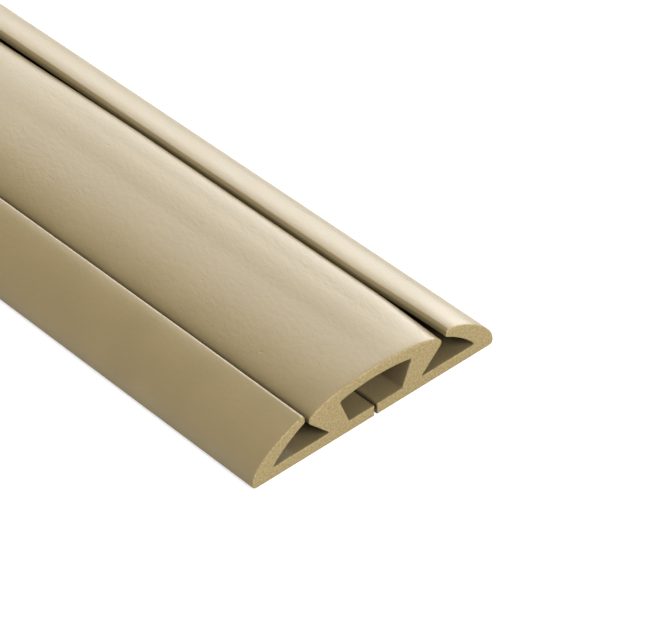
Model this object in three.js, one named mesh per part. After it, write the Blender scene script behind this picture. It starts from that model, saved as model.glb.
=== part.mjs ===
import * as THREE from 'three';

// Floor cord cover: one strip of flexible vinyl, pushed out of one die, so every cross-section is alike.
// A hump with a channel inside it runs down the middle, and a thin flap on each side leans over a side
// channel until its tip almost meets the hump's lip. The narrow gap left between them lets a cord in.
// X runs across the strip, Y along it and Z up from the floor. The origin lies under its centre.
// All sizes are in millimetres.

// Whole strip
const coverLength = 1524;
const coverWidth = 65;
const crownHeight = 12.6;
const baseThickness = 2.6;
const baseEdgeRadius = 1;

// Middle channel: a slit in the base lets a cord in from below
const middleFloorWidth = 14.2;
const middleTopWidth = 19.3;
const middleCornerRadius = 0.45;
const roofThickness = 2.5;
const ceilingRise = 1.1;
const baseSlitWidth = 0.8;

// Hump: its crown is nearly level out to crownReach, then falls to a round lip over the side channel
const crownReach = 11.7;
const webFootThickness = 5.1;
const lipOverhang = 6.3;
const lipHeight = 6.2;
const lipRadius = 1.15;

// Side channels and the flaps over them
const channelCornerRadius = 0.3;
const edgeFootWidth = 5.1;
const flapGap = 1.15;
const flapTipRise = 2.6;
const flapTipThickness = 2.2;
const flapTipRadius = 0.8;
const flapUnderTipRadius = 0.35;
const flapShoulderHeight = 6.2;
const flapUndersideBow = 0.5;

// Colour and finish
const vinylColor = 0xb9a378;
const vinylRoughness = 0.5;

const pointsPerCurve = 8;

// A corner of the section: x across, z up, the radius it is rounded to, and, where the side that leaves
// it is curved, the point that the curve bends towards
function corner(x, z, radius = 0, bend = null) {
  return { at: new THREE.Vector2(x, z), radius, bend };
}

function toward(from, to) {
  return to.clone().sub(from).normalize();
}

// Centre, trimmed length and directions of the arc that rounds a corner between two sides
function rounding(at, before, after, radius) {
  const back = toward(at, before);
  const on = toward(at, after);
  const halfAngle = Math.acos(back.dot(on)) / 2;
  const trim = radius / Math.tan(halfAngle);
  const middle = back.clone().add(on).normalize();
  const centre = at.clone().addScaledVector(middle, radius / Math.sin(halfAngle));
  return { centre, start: at.clone().addScaledVector(back, trim), end: at.clone().addScaledVector(on, trim) };
}

// The middle of a side from one point to another, pushed sideways so that the curve bows by that much
function bowed(from, to, bow) {
  const along = toward(from, to);
  const sideways = new THREE.Vector2(along.y, -along.x);
  return from.clone().lerp(to, 0.5).addScaledVector(sideways, 2 * bow);
}

function angleFrom(centre, point) {
  return Math.atan2(point.y - centre.y, point.x - centre.x);
}

// Draws the sides between the corners, curved where they bend, with each corner rounded
function trace(corners) {
  const path = new THREE.Path();
  path.moveTo(corners[0].at.x, corners[0].at.y);
  for (let i = 1; i < corners.length; i += 1) {
    const { at, radius, bend } = corners[i];
    const previous = corners[i - 1];
    const next = corners[i + 1];
    const before = previous.bend ?? previous.at;
    const arc = radius > 0 ? rounding(at, before, bend ?? next.at, radius) : null;
    const sideEnd = arc ? arc.start : at;
    if (previous.bend) {
      path.quadraticCurveTo(previous.bend.x, previous.bend.y, sideEnd.x, sideEnd.y);
    } else {
      path.lineTo(sideEnd.x, sideEnd.y);
    }
    if (arc) {
      const startAngle = angleFrom(arc.centre, arc.start);
      const endAngle = angleFrom(arc.centre, arc.end);
      const turn = Math.sin(endAngle - startAngle);
      path.absarc(arc.centre.x, arc.centre.y, radius, startAngle, endAngle, turn < 0);
    }
  }
  return path.getPoints(pointsPerCurve);
}

// The right half of the section, from the middle channel's ceiling down through the base slit, out
// along the base, over the flap, through the side channel and up over the hump to its crown
function rightHalf() {
  const ceiling = crownHeight - roofThickness;
  const crownBend = new THREE.Vector2(crownReach, crownHeight);
  const webFoot = new THREE.Vector2(middleFloorWidth / 2 + webFootThickness, baseThickness);
  const lip = new THREE.Vector2(webFoot.x + lipOverhang, baseThickness + lipHeight);
  const lipNose = rounding(lip, webFoot, crownBend, lipRadius).centre.x + lipRadius;

  const edge = coverWidth / 2;
  const tipX = lipNose + flapGap;
  const tipTop = new THREE.Vector2(tipX, lip.y + flapTipRise);
  const tipUnder = new THREE.Vector2(tipX, tipTop.y - flapTipThickness);
  const flapRoot = new THREE.Vector2(edge - edgeFootWidth, baseThickness);
  const flapShoulder = new THREE.Vector2(edge, flapShoulderHeight);
  const underBend = bowed(tipUnder, flapRoot, -flapUndersideBow);

  return trace([
    corner(0, ceiling, 0, new THREE.Vector2(middleTopWidth / 4, ceiling)),
    corner(middleTopWidth / 2, ceiling - ceilingRise, middleCornerRadius),
    corner(middleFloorWidth / 2, baseThickness, middleCornerRadius),
    corner(baseSlitWidth / 2, baseThickness),
    corner(baseSlitWidth / 2, 0),
    corner(edge, 0, baseEdgeRadius, flapShoulder),
    corner(tipTop.x, tipTop.y, flapTipRadius),
    corner(tipUnder.x, tipUnder.y, flapUnderTipRadius, underBend),
    corner(flapRoot.x, flapRoot.y, channelCornerRadius),
    corner(webFoot.x, webFoot.y, channelCornerRadius),
    corner(lip.x, lip.y, lipRadius, crownBend),
    corner(0, crownHeight),
  ]);
}

function section() {
  const right = rightHalf();
  const left = right.slice(1, -1).map((point) => new THREE.Vector2(-point.x, point.y));
  return new THREE.Shape([...right, ...left.reverse()]);
}

function cordCoverStrip() {
  const geometry = new THREE.ExtrudeGeometry(section(), { depth: coverLength, bevelEnabled: false });
  const vinyl = new THREE.MeshStandardMaterial({
    color: vinylColor,
    roughness: vinylRoughness,
    metalness: 0,
  });
  const mesh = new THREE.Mesh(geometry, vinyl);
  mesh.name = 'cord_cover_strip';
  mesh.rotation.x = Math.PI / 2;
  mesh.position.y = coverLength / 2;
  return mesh;
}

const cordCover = new THREE.Group();
cordCover.add(cordCoverStrip());

export default cordCover;
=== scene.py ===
import math

import bpy
import numpy as np
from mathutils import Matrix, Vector, noise
from mathutils.geometry import delaunay_2d_cdt


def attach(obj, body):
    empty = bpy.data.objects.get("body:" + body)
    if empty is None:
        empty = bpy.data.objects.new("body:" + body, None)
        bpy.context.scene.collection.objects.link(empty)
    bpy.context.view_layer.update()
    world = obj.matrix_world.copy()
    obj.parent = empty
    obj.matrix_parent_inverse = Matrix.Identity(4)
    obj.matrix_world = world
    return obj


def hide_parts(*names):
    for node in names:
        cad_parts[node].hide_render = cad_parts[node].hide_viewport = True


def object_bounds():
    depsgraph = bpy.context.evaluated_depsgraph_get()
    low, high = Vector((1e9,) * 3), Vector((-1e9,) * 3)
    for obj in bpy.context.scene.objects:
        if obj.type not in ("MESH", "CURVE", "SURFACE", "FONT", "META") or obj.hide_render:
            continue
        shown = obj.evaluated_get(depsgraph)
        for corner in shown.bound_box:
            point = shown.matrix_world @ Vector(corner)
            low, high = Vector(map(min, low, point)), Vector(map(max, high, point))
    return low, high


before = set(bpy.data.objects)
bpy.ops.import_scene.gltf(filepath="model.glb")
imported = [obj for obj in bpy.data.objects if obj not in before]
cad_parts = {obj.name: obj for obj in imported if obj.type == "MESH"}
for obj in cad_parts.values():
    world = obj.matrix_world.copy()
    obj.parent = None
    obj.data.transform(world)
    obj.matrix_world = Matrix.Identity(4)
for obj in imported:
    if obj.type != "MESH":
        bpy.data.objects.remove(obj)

# Floor cord cover: one strip of satin vinyl, 65 mm wide and 1.5 m long, with a hump and two flaps.
# X runs across the strip, Y along it, Z up. The section is drawn in millimetres and placed in metres.

cad_low, cad_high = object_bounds()

MM = 0.001

# The section, in millimetres, as the solid has it
COVER_WIDTH = (cad_high.x - cad_low.x) / MM
CROWN_HEIGHT = (cad_high.z - cad_low.z) / MM
BASE_THICKNESS = 2.6
BASE_EDGE_RADIUS = 1.0
MIDDLE_FLOOR_WIDTH = 14.2
MIDDLE_TOP_WIDTH = 19.3
MIDDLE_CORNER_RADIUS = 0.45
ROOF_THICKNESS = 2.5
CEILING_RISE = 1.1
BASE_SLIT_WIDTH = 0.8
CROWN_REACH = 11.7
WEB_FOOT_THICKNESS = 5.1
LIP_OVERHANG = 6.3
LIP_HEIGHT = 6.2
LIP_RADIUS = 1.15
CHANNEL_CORNER_RADIUS = 0.3
EDGE_FOOT_WIDTH = 5.1
FLAP_GAP = 1.15
FLAP_TIP_RISE = 2.6
FLAP_TIP_THICKNESS = 2.2
FLAP_TIP_RADIUS = 0.8
FLAP_UNDER_TIP_RADIUS = 0.35
FLAP_SHOULDER_HEIGHT = 6.2
FLAP_UNDERSIDE_BOW = 0.5

# How far apart the outline's points are, in millimetres: on sides, and on the arcs that round corners
SIDE_STEP = 0.9
ARC_STEP = 0.16


def point(x, z):
    return np.array([x, z], float)


def corner(x, z, radius=0.0, bend=None, flap=False):
    return {"at": point(x, z), "radius": radius, "bend": bend, "flap": flap}


def toward(start, end):
    return (end - start) / np.linalg.norm(end - start)


def rounding(at, before, after, radius):
    """Centre, start and end of the arc that rounds a corner between two sides."""
    back = toward(at, before)
    on = toward(at, after)
    half = math.acos(float(back @ on)) / 2
    trim = radius / math.tan(half)
    middle = toward(point(0, 0), back + on)
    return at + middle * radius / math.sin(half), at + back * trim, at + on * trim


def bowed(start, end, bow):
    along = toward(start, end)
    return (start + end) / 2 + 2 * bow * point(along[1], -along[0])


def side_points(start, bend, end, step):
    """Points along a side, straight or bent, without its first point."""
    count = max(1, math.ceil(np.linalg.norm(end - start) / step))
    t = (np.arange(1, count + 1) / count)[:, None]
    if bend is None:
        return start + (end - start) * t
    return start * (1 - t) ** 2 + bend * 2 * t * (1 - t) + end * t**2


def arc_points(centre, start, end, step):
    a = start - centre
    b = end - centre
    turn = math.atan2(a[0] * b[1] - a[1] * b[0], float(a @ b))
    count = max(4, math.ceil(abs(turn) * np.linalg.norm(a) / step))
    angles = math.atan2(a[1], a[0]) + turn * np.arange(1, count + 1) / count
    return centre + np.linalg.norm(a) * np.stack([np.cos(angles), np.sin(angles)], 1)


def trace(corners, side_step, arc_step):
    """The outline's points, and for each whether it lies on the flap."""
    points = [corners[0]["at"]]
    on_flap = [False]
    for i in range(1, len(corners)):
        here = corners[i]
        last = corners[i - 1]
        end = here["at"]
        arc = None
        if here["radius"] > 0:
            before = last["at"] if last["bend"] is None else last["bend"]
            after = corners[i + 1]["at"] if here["bend"] is None else here["bend"]
            arc = rounding(here["at"], before, after, here["radius"])
            end = arc[1]
        side = side_points(points[-1], last["bend"], end, side_step)
        points.extend(side)
        on_flap.extend([last["flap"]] * len(side))
        if arc:
            bow = arc_points(*arc, arc_step)
            points.extend(bow)
            on_flap.extend([here["flap"]] * len(bow))
    return np.array(points), np.array(on_flap)


def right_half():
    ceiling = CROWN_HEIGHT - ROOF_THICKNESS
    crown_bend = point(CROWN_REACH, CROWN_HEIGHT)
    web_foot = point(MIDDLE_FLOOR_WIDTH / 2 + WEB_FOOT_THICKNESS, BASE_THICKNESS)
    lip = web_foot + point(LIP_OVERHANG, LIP_HEIGHT)
    lip_nose = rounding(lip, web_foot, crown_bend, LIP_RADIUS)[0][0] + LIP_RADIUS
    edge = COVER_WIDTH / 2
    tip_top = point(lip_nose + FLAP_GAP, lip[1] + FLAP_TIP_RISE)
    tip_under = tip_top - point(0, FLAP_TIP_THICKNESS)
    root = point(edge - EDGE_FOOT_WIDTH, BASE_THICKNESS)
    corners = [
        corner(0, ceiling, bend=point(MIDDLE_TOP_WIDTH / 4, ceiling)),
        corner(MIDDLE_TOP_WIDTH / 2, ceiling - CEILING_RISE, MIDDLE_CORNER_RADIUS),
        corner(MIDDLE_FLOOR_WIDTH / 2, BASE_THICKNESS, MIDDLE_CORNER_RADIUS),
        corner(BASE_SLIT_WIDTH / 2, BASE_THICKNESS),
        corner(BASE_SLIT_WIDTH / 2, 0),
        corner(edge, 0, BASE_EDGE_RADIUS, point(edge, FLAP_SHOULDER_HEIGHT), flap=True),
        corner(*tip_top, FLAP_TIP_RADIUS, flap=True),
        corner(*tip_under, FLAP_UNDER_TIP_RADIUS, bowed(tip_under, root, -FLAP_UNDERSIDE_BOW), flap=True),
        corner(*root, CHANNEL_CORNER_RADIUS),
        corner(*web_foot, CHANNEL_CORNER_RADIUS),
        corner(*lip, LIP_RADIUS, crown_bend),
        corner(0, CROWN_HEIGHT),
    ]
    return trace(corners, SIDE_STEP, ARC_STEP)


half, half_on_flap = right_half()
section = np.concatenate([half, half[-2:0:-1] * point(-1, 1)])
on_flap = np.concatenate([half_on_flap, half_on_flap[-2:0:-1]])


def outward(outline):
    """Unit normals that point out of a closed outline, where it turns left."""
    along = np.roll(outline, -1, 0) - np.roll(outline, 1, 0)
    normals = np.stack([along[:, 1], -along[:, 0]], 1)
    return normals / np.linalg.norm(normals, axis=1)[:, None]


def turns_left(outline):
    x, z = outline.T
    return (x * np.roll(z, -1) - np.roll(x, -1) * z).sum() > 0


normals = outward(section) if turns_left(section) else -outward(section)

# Stations along the strip, in millimetres from the near end. They lie closest at the cuts, whose edges
# are a little rounded, and close in the stretch that the camera sees.
STRIP_LENGTH = (cad_high.y - cad_low.y) / MM
CUT_EDGE_RADIUS = 0.22
CROWN_CUT_RADIUS = 0.45
CUT_RIM_BANDS = 4
CUT_EDGE_STATIONS = (0.0, 0.02, 0.07, 0.15, 0.28, 0.45)
NEAR_STRETCH = 175.0
NEAR_STEP = 1.8
FAR_STEP = 11.0
FACES_UP = 0.5

on_crown = (normals[:, 1] > FACES_UP) & ~on_flap & (section[:, 1] > LIP_HEIGHT + BASE_THICKNESS)
cut_radius = np.where(on_crown, CROWN_CUT_RADIUS, CUT_EDGE_RADIUS)


def stations():
    depth = CUT_EDGE_STATIONS[-1]
    near = list(np.linspace(depth, NEAR_STRETCH, round(NEAR_STRETCH / NEAR_STEP)))
    far_count = round((STRIP_LENGTH - NEAR_STRETCH) / FAR_STEP)
    far = list(np.linspace(NEAR_STRETCH, STRIP_LENGTH - depth, far_count))
    last = [STRIP_LENGTH - d for d in CUT_EDGE_STATIONS[-2::-1]]
    return list(CUT_EDGE_STATIONS[:-1]) + near + far[1:] + last


def edge_inset(distance_to_end):
    """How far the skin is drawn in near a cut end, so that the cut's edge is rounded."""
    d = np.maximum(0.0, cut_radius - distance_to_end)
    return cut_radius - np.sqrt(cut_radius**2 - d**2)


def smooth_step(value, start, end):
    t = np.clip((value - start) / (end - start), 0, 1)
    return t * t * (3 - 2 * t)


# Play in the soft vinyl behind the cut, in millimetres. Both flaps wander and swell and have rounder tips
# than the solid. The left tip stands higher, the right one leans toward the hump, and the hump's right
# shoulder and lip are raised for a stretch. Each pair is where a change starts and ends.
FLAP_HINGE_X = 28.0
FLAP_TIP_X = 18.9
FLAP_WANDER = 0.1
FLAP_WANDER_WAY = point(0.62, 0.785)
FLAP_WANDER_LENGTH = 55.0
FLAP_WANDER_SEED = 3.1
SWELL = 0.5
SWELL_X = (19.0, 30.5)
SWELL_FACES_UP = 0.2
LEFT_RELAXES = (-2.0, 36.0)
LEFT_TIP_STANDS = 0.4
LEFT_TIP_LEANS = 0.15
LEFT_TIP_ROUNDING = 0.3
RIGHT_RELAXES = (-12.0, 14.0)
RIGHT_TIP_LEANS = 0.7
RIGHT_LEANS_OVER = (1.0, 30.0)
RIGHT_TIP_ROUNDING = 0.4
TIP_ROUNDING_REACH = 1.4
TIP_ROUNDING_PLACE = point(FLAP_TIP_X + 0.25, BASE_THICKNESS + LIP_HEIGHT + FLAP_TIP_RISE - 0.2)
LIP_LIFT = 0.8
LIP_LIFT_WAY = point(0.35, 0.85)
LIP_LIFT_X = (9.5, 17.0)
LIP_LIFT_Z = (4.0, 8.5)
LIP_LIFT_STARTS = (-6.0, 20.0)
LIP_LIFT_ENDS = (88.0, 145.0)
SHOULDER_BULGE = 0.35
SHOULDER_X = (2.0, 17.0)


def bulge(value, start, end):
    """A smooth hill that is 1 halfway between start and end, and 0 outside them."""
    return np.sin(math.pi * np.clip((value - start) / (end - start), 0, 1))


across = np.abs(section[:, 0])
flap_reach = smooth_step(FLAP_HINGE_X - across, 0.0, FLAP_HINGE_X - FLAP_TIP_X)
swell_shape = np.where(on_flap & (normals[:, 1] > SWELL_FACES_UP), bulge(across, *SWELL_X), 0)
tip_distance = np.linalg.norm(np.abs(section) - TIP_ROUNDING_PLACE, axis=1)
tip_shape = np.where(on_flap, np.exp(-((tip_distance / TIP_ROUNDING_REACH) ** 2)), 0)
lip_reach = smooth_step(section[:, 0], *LIP_LIFT_X) * smooth_step(section[:, 1], *LIP_LIFT_Z) * ~on_flap
shoulder_shape = np.where(on_crown, bulge(section[:, 0], *SHOULDER_X), 0)


def wander(y, seed, wavelength):
    return noise.noise(Vector((y / wavelength, seed, seed * 0.7)))


def left_play(end):
    """How much the left flap swells, its tip is rounded off, stands and leans, so far from an end."""
    relaxed = smooth_step(end, *LEFT_RELAXES)
    return SWELL * relaxed, LEFT_TIP_ROUNDING * relaxed, LEFT_TIP_STANDS * relaxed, LEFT_TIP_LEANS * relaxed


def right_play(end):
    swell = SWELL * smooth_step(end, *RIGHT_RELAXES)
    lean = RIGHT_TIP_LEANS * smooth_step(end, *RIGHT_LEANS_OVER)
    return swell, RIGHT_TIP_ROUNDING, 0.0, lean


def ring(y):
    """The section at one station, moved a little, as flexible vinyl moves."""
    end = min(y, STRIP_LENGTH - y)
    moved = section - normals * edge_inset(end)[:, None]
    for side, play in ((-1, left_play), (1, right_play)):
        swell, rounding_off, stand, lean = play(end)
        swing = FLAP_WANDER * wander(y, FLAP_WANDER_SEED + side, FLAP_WANDER_LENGTH) * FLAP_WANDER_WAY
        bend = flap_reach[:, None] * (swing + point(-lean, stand)) * point(side, 1)
        along = normals * (swell * swell_shape - rounding_off * tip_shape)[:, None]
        here = on_flap & (section[:, 0] * side > 0)
        moved = moved + np.where(here[:, None], along + bend, 0)
    raised = smooth_step(y, *LIP_LIFT_STARTS) - smooth_step(y, *LIP_LIFT_ENDS)
    moved = moved + normals * (SHOULDER_BULGE * raised * shoulder_shape)[:, None]
    return moved + lip_reach[:, None] * LIP_LIFT * raised * LIP_LIFT_WAY


# The skin's own unevenness, in millimetres. It fades at the cuts, where the knife has nibbled the edge,
# and there is none on the underside.
SKIN_WANDER = 0.01
SKIN_WANDER_ACROSS = 9.0
SKIN_WANDER_ALONG = 16.0
SKIN_FADE = 3.0
UNDERSIDE_HEIGHT = 0.3
EDGE_NIBBLE = 0.02
NIBBLES_ACROSS = 1.4
NIBBLES_ALONG = 0.3


def skin_offset(px, y, pz):
    """How far the skin stands out at a place."""
    fade = min(1.0, min(y, STRIP_LENGTH - y) / SKIN_FADE)
    place = Vector((px / SKIN_WANDER_ACROSS, y / SKIN_WANDER_ALONG, pz / SKIN_WANDER_ACROSS))
    skin = SKIN_WANDER * noise.noise(place) * fade if pz > UNDERSIDE_HEIGHT else 0.0
    nibble = noise.noise(Vector((px * NIBBLES_ACROSS, pz * NIBBLES_ACROSS, y * NIBBLES_ALONG)))
    return skin - EDGE_NIBBLE * (1 - fade) * (0.5 + nibble)


def build_strip():
    rows = stations()
    count = len(section)
    vertices = []
    for y in rows:
        for (px, pz), (nx, nz) in zip(ring(y), normals):
            out = skin_offset(px, y, pz)
            vertices.append((px + nx * out, y, pz + nz * out))
    faces = []
    for first in range(0, (len(rows) - 1) * count, count):
        for i in range(count):
            j = (i + 1) % count
            faces.append((first + i, first + count + i, first + count + j, first + j))
    rim_faces = CUT_RIM_BANDS * count
    skin_faces = len(faces)
    for first, inward in ((0, 1.0), ((len(rows) - 1) * count, -1.0)):
        add_cut(vertices, faces, first, count, inward)
    low = Vector((0, cad_low.y / MM, cad_low.z / MM))
    mesh = bpy.data.meshes.new("cord_cover_strip_skin")
    mesh.from_pydata([(Vector(v) + low) * MM for v in vertices], [], faces)
    mesh.update()
    for face in mesh.polygons:
        face.use_smooth = True
        on_rim = face.index < rim_faces or face.index >= skin_faces - rim_faces
        face.material_index = 1 if on_rim else 0
    return mesh


# The cut faces: a grid of small triangles, in millimetres, or as shares of the grid
CUT_GRID = 0.42
CUT_ROW_STEP = 0.87
CUT_JITTER = 0.12
CUT_CLEAR_OF_EDGE = 0.55
CUT_GRAIN = 0.035
CUT_GRAINS_PER_MM = 1.7
NEAR_CUT_SEED = 7
FAR_CUT_SEED = 8


def add_cut(vertices, faces, first, count, inward):
    """Fills a cut end with small triangles whose inner corners stand in and out a little."""
    outline = [Vector((v[0], v[2])) for v in vertices[first : first + count]]
    y = vertices[first][1]
    inside = []
    rng = np.random.default_rng(NEAR_CUT_SEED if inward > 0 else FAR_CUT_SEED)
    polygon = np.array([tuple(p) for p in outline])
    xs = np.arange(-COVER_WIDTH / 2, COVER_WIDTH / 2, CUT_GRID)
    for row, gz in enumerate(np.arange(CUT_GRID / 2, CROWN_HEIGHT, CUT_GRID * CUT_ROW_STEP)):
        for gx in xs + (row % 2) * CUT_GRID / 2:
            p = point(gx, gz) + rng.uniform(-CUT_JITTER, CUT_JITTER, 2) * CUT_GRID
            to_edge = np.sqrt(np.min(np.sum((polygon - p) ** 2, 1)))
            if contains(polygon, p) and to_edge > CUT_GRID * CUT_CLEAR_OF_EDGE:
                inside.append(Vector(p))
    found = delaunay_2d_cdt(outline + inside, [], [list(range(count))], 1, 1e-6)
    places, _, triangles, sources, _, _ = found
    index = []
    for place, source in zip(places, sources):
        if source and source[0] < count:
            index.append(first + source[0])
            continue
        grain = noise.noise(Vector((place.x * CUT_GRAINS_PER_MM, place.y * CUT_GRAINS_PER_MM, y)))
        grain = CUT_GRAIN * (grain + rng.uniform(-0.5, 0.5))
        index.append(len(vertices))
        vertices.append((place.x, y + inward * grain, place.y))
    for triangle in triangles:
        face = tuple(index[i] for i in triangle)
        faces.append(face if inward > 0 else face[::-1])


def contains(polygon, p):
    """Whether a point lies in a closed outline: a line from it has an odd number of crossings."""
    a = polygon
    b = np.roll(polygon, -1, 0)
    crosses = (a[:, 1] > p[1]) != (b[:, 1] > p[1])
    at = a[:, 0] + (p[1] - a[:, 1]) * (b[:, 0] - a[:, 0]) / np.where(crosses, b[:, 1] - a[:, 1], 1)
    return int((crosses & (p[0] < at)).sum()) % 2 == 1


# Colours and finishes. Noise scales are per millimetre, bump depths are in metres, and a shade is a pair
# of shares of the colour.
VINYL = (0.255, 0.195, 0.0945)
VINYL_SHADES = (0.96, 1.04)
VINYL_SPECULAR = 0.65
VINYL_ROUGHNESS = (0.38, 0.42)
CLOUD_SCALE = 0.09
CLOUD_VALUES = (0.3, 0.7)
WRINKLE_SCALE = 0.95
WRINKLE_SLANT = math.radians(20.7)
WRINKLE_STRETCH = 1.8
WRINKLE_DEPTH = 0.000046
PEEL_SCALE = 2.2
PEEL_DEPTH = 0.000018
DIMPLE_SCALE = 0.07
DIMPLE_RADIUS = 0.035
DIMPLE_DEPTH = 0.00006
# Painted shade in the slits and channels: how far it looks for nearby vinyl, in metres, and the share of
# the colour left where it is darkest
PAINTED_SHADE_REACH = 0.01
PAINTED_SHADE_DARKEST = 0.38

CUT_VINYL = (0.333, 0.2565, 0.1205)
CUT_SHADES = (0.72, 1.22)
CUT_GRAIN_SCALE = 2.0
CUT_GRAIN_VALUES = (0.35, 0.65)
CUT_ROUGHNESS = 0.75
CUT_SPECULAR = 0.25
CUT_PIT_DEPTH = 0.00006

FLOOR_SHADE = 0.5
FLOOR_ROUGHNESS = 0.9
FLOOR_GLOW = 0.65


def node_material(name):
    material = bpy.data.materials.new(name)
    material.use_nodes = True
    tree = material.node_tree
    return material, tree, tree.nodes["Principled BSDF"]


def add(tree, kind, **settings):
    """A new node, with its inputs and its own settings given by name."""
    node = tree.nodes.new(kind)
    for key, value in settings.items():
        if key in node.inputs:
            node.inputs[key].default_value = value
        else:
            setattr(node, key, value)
    return node


def millimetres(tree):
    """The strip's own coordinates, in millimetres."""
    place = add(tree, "ShaderNodeTexCoord")
    scaled = add(tree, "ShaderNodeMapping", Scale=(1 / MM, 1 / MM, 1 / MM))
    tree.links.new(place.outputs["Object"], scaled.inputs["Vector"])
    return scaled.outputs["Vector"]


def clouded(tree, place, **settings):
    texture = add(tree, "ShaderNodeTexNoise", **settings)
    tree.links.new(place, texture.inputs["Vector"])
    return texture.outputs["Fac"]


def shaded(tree, value, ends, colour, shades):
    """The colour in the first shade below the first end, in the second above the second, mixed between."""
    ramp = add(tree, "ShaderNodeValToRGB")
    for stop, end, shade in zip(ramp.color_ramp.elements, ends, shades):
        stop.position = end
        stop.color = (*(c * shade for c in colour), 1.0)
    tree.links.new(value, ramp.inputs["Fac"])
    return ramp.outputs["Color"]


def ranged(tree, value, start=0.0, end=1.0, low=0.0, high=1.0):
    """The value moved from start..end to low..high."""
    settings = {"From Min": start, "From Max": end, "To Min": low, "To Max": high}
    node = add(tree, "ShaderNodeMapRange", **settings)
    tree.links.new(value, node.inputs["Value"])
    return node.outputs["Result"]


def bumped(tree, height, depth, over=None):
    """A normal with a bump of this depth, on top of another bump where one is given."""
    node = add(tree, "ShaderNodeBump", Strength=1.0, Distance=depth)
    tree.links.new(height, node.inputs["Height"])
    if over is not None:
        tree.links.new(over, node.inputs["Normal"])
    return node.outputs["Normal"]


def painted_crevice_shade(tree, colour):
    """Painted shade: darkens the colour in the slits and channels, the more where nearby vinyl hems a place
    in.
    """
    openness = add(tree, "ShaderNodeAmbientOcclusion", samples=1, only_local=True, Distance=PAINTED_SHADE_REACH)
    factor = ranged(tree, openness.outputs["AO"], low=PAINTED_SHADE_DARKEST)
    scaled = add(tree, "ShaderNodeVectorMath", operation="SCALE")
    tree.links.new(colour, scaled.inputs[0])
    tree.links.new(factor, scaled.inputs["Scale"])
    return scaled.outputs["Vector"]


def vinyl_skin():
    """Satin vinyl with faint clouds, fine slanting wrinkles, an orange peel, a few dimples, and painted
    shade in the slits and channels.
    """
    material, tree, shader = node_material("vinyl_skin")
    link = tree.links.new
    place = millimetres(tree)
    clouds = clouded(tree, place, Scale=CLOUD_SCALE, Detail=4.0, Roughness=0.55)
    # The base colour carries painted shade in the slits and channels, darker where nearby vinyl hems a
    # place in
    colour = painted_crevice_shade(tree, shaded(tree, clouds, CLOUD_VALUES, VINYL, VINYL_SHADES))
    link(colour, shader.inputs["Base Color"])
    shader.inputs["Specular IOR Level"].default_value = VINYL_SPECULAR
    link(ranged(tree, clouds, *CLOUD_VALUES, *VINYL_ROUGHNESS), shader.inputs["Roughness"])

    slanted = add(tree, "ShaderNodeMapping", vector_type="TEXTURE")
    slanted.inputs["Rotation"].default_value = (0, 0, -WRINKLE_SLANT)
    slanted.inputs["Scale"].default_value = (1, WRINKLE_STRETCH, 1)
    link(place, slanted.inputs["Vector"])
    folds = {"Scale": WRINKLE_SCALE, "Detail": 1.0, "Roughness": 0.5, "Distortion": 0.4}
    wrinkles = clouded(tree, slanted.outputs["Vector"], **folds)
    peel = clouded(tree, place, Scale=PEEL_SCALE, Detail=2.0, Roughness=0.6)
    cells = add(tree, "ShaderNodeTexVoronoi", Scale=DIMPLE_SCALE)
    link(place, cells.inputs["Vector"])
    dimples = ranged(tree, cells.outputs["Distance"], end=DIMPLE_RADIUS)

    coarse = bumped(tree, wrinkles, WRINKLE_DEPTH)
    fine = bumped(tree, peel, PEEL_DEPTH, coarse)
    link(bumped(tree, dimples, DIMPLE_DEPTH, fine), shader.inputs["Normal"])
    return material


def vinyl_cut():
    """The sawn ends: lighter, dull and grainy."""
    material, tree, shader = node_material("vinyl_cut")
    link = tree.links.new
    grain = clouded(tree, millimetres(tree), Scale=CUT_GRAIN_SCALE, Detail=3.0, Roughness=0.65)
    link(shaded(tree, grain, CUT_GRAIN_VALUES, CUT_VINYL, CUT_SHADES), shader.inputs["Base Color"])
    shader.inputs["Roughness"].default_value = CUT_ROUGHNESS
    shader.inputs["Specular IOR Level"].default_value = CUT_SPECULAR
    link(bumped(tree, grain, CUT_PIT_DEPTH), shader.inputs["Normal"])
    return material


def seen_strength(tree, cast, seen, target):
    """A strength that is one value where the picture shows the light itself and another where it falls."""
    path = add(tree, "ShaderNodeLightPath")
    tree.links.new(ranged(tree, path.outputs["Is Camera Ray"], low=cast, high=seen), target)


def floor_material():
    material, tree, shader = node_material("pale_floor")
    shader.inputs["Base Color"].default_value = (FLOOR_SHADE, FLOOR_SHADE, FLOOR_SHADE, 1)
    shader.inputs["Roughness"].default_value = FLOOR_ROUGHNESS
    shader.inputs["Specular IOR Level"].default_value = 0.0
    shader.inputs["Emission Color"].default_value = (1, 1, 1, 1)
    seen_strength(tree, 0.0, FLOOR_GLOW, shader.inputs["Emission Strength"])
    return material


# The strip
mesh = build_strip()
mesh.materials.append(vinyl_skin())
mesh.materials.append(vinyl_cut())
strip = bpy.data.objects.new("cord_cover_strip_skin", mesh)
bpy.context.collection.objects.link(strip)
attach(strip, "root")
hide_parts("cord_cover_strip")

# Camera, fitted to the photograph: low on the left of the near end, looking along and across the strip
CAMERA_AZIMUTH = math.radians(42.68)
CAMERA_ELEVATION = math.radians(39.62)
CAMERA_FROM_END = Vector((-0.3446, -0.3593, 0.4365))
FOCAL_PIXELS = 3358
PICTURE_WIDTH_PIXELS = 653
SENSOR_WIDTH = 36.0


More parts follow.
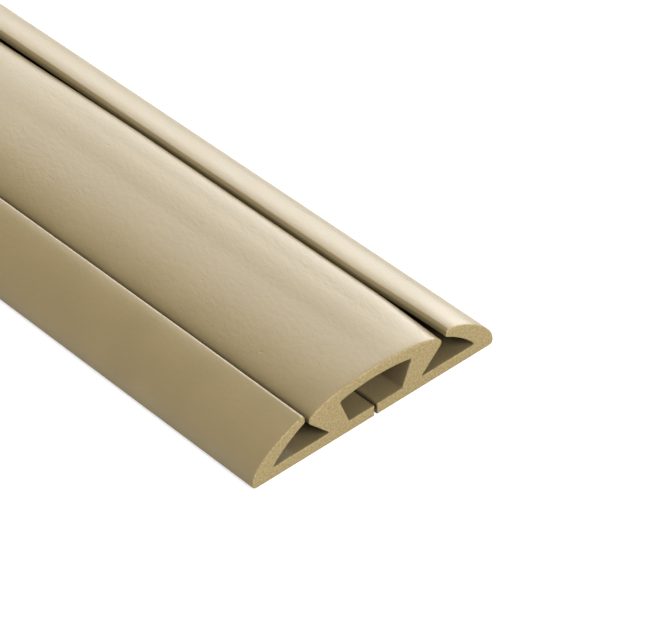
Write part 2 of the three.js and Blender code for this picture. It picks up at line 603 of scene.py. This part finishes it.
def add_camera():
    data = bpy.data.cameras.new("camera")
    data.sensor_width = SENSOR_WIDTH
    data.lens = FOCAL_PIXELS / PICTURE_WIDTH_PIXELS * SENSOR_WIDTH
    camera = bpy.data.objects.new("camera", data)
    camera.location = Vector((0, cad_low.y, 0)) + CAMERA_FROM_END
    forward = Vector((
        math.sin(CAMERA_AZIMUTH) * math.cos(CAMERA_ELEVATION),
        math.cos(CAMERA_AZIMUTH) * math.cos(CAMERA_ELEVATION),
        -math.sin(CAMERA_ELEVATION),
    ))
    camera.rotation_euler = forward.to_track_quat("-Z", "Y").to_euler()
    bpy.context.collection.objects.link(camera)
    bpy.context.scene.camera = camera


add_camera()

# Floor and light, in metres and degrees
FLOOR_HALF_WIDTH = 60.0
FLOOR_GAP = 0.00003
LAMP_DISTANCE = 6.0


def add_floor():
    directions = ((-1, -1), (1, -1), (1, 1), (-1, 1))
    corners = [(x * FLOOR_HALF_WIDTH, y * FLOOR_HALF_WIDTH, -FLOOR_GAP) for x, y in directions]
    mesh = bpy.data.meshes.new("floor")
    mesh.from_pydata(corners, [], [(0, 1, 2, 3)])
    mesh.materials.append(floor_material())
    floor = bpy.data.objects.new("floor", mesh)
    bpy.context.collection.objects.link(floor)


add_floor()


def add_sun(name, azimuth, elevation, spread, strength):
    """A light so far away that it is the same all along the strip; spread is its width in the sky."""
    data = bpy.data.lights.new(name, "SUN")
    data.energy = strength
    data.angle = math.radians(spread)
    lamp = bpy.data.objects.new(name, data)
    a = math.radians(azimuth)
    e = math.radians(elevation)
    away = Vector((math.sin(a) * math.cos(e), math.cos(a) * math.cos(e), math.sin(e)))
    lamp.location = away * LAMP_DISTANCE
    lamp.rotation_euler = away.to_track_quat("Z", "Y").to_euler()
    lamp.visible_camera = False
    bpy.context.collection.objects.link(lamp)
    return lamp


add_sun("front", azimuth=175, elevation=34, spread=44, strength=3.7)
add_sun("left", azimuth=270, elevation=20, spread=40, strength=1.55)
add_sun("top", azimuth=350, elevation=80, spread=40, strength=0.34)
add_sun("back", azimuth=47, elevation=30, spread=46, strength=1.6)
add_sun("back_low", azimuth=62, elevation=10, spread=36, strength=0.8)
add_sun("back_floor", azimuth=70, elevation=4, spread=24, strength=1.3)
soft_top = add_sun("soft_top", azimuth=80, elevation=65, spread=50, strength=0.85)
soft_top.visible_glossy = False

WORLD_LIGHT = 0.02
BACKDROP_LIGHT = 1.4

world = bpy.data.worlds.new("studio")
world.use_nodes = True
bpy.context.scene.world = world
tree = world.node_tree
background = tree.nodes["Background"]
background.inputs["Color"].default_value = (1, 1, 1, 1)
seen_strength(tree, WORLD_LIGHT, BACKDROP_LIGHT, background.inputs["Strength"])

bpy.context.scene.view_settings.view_transform = "Standard"
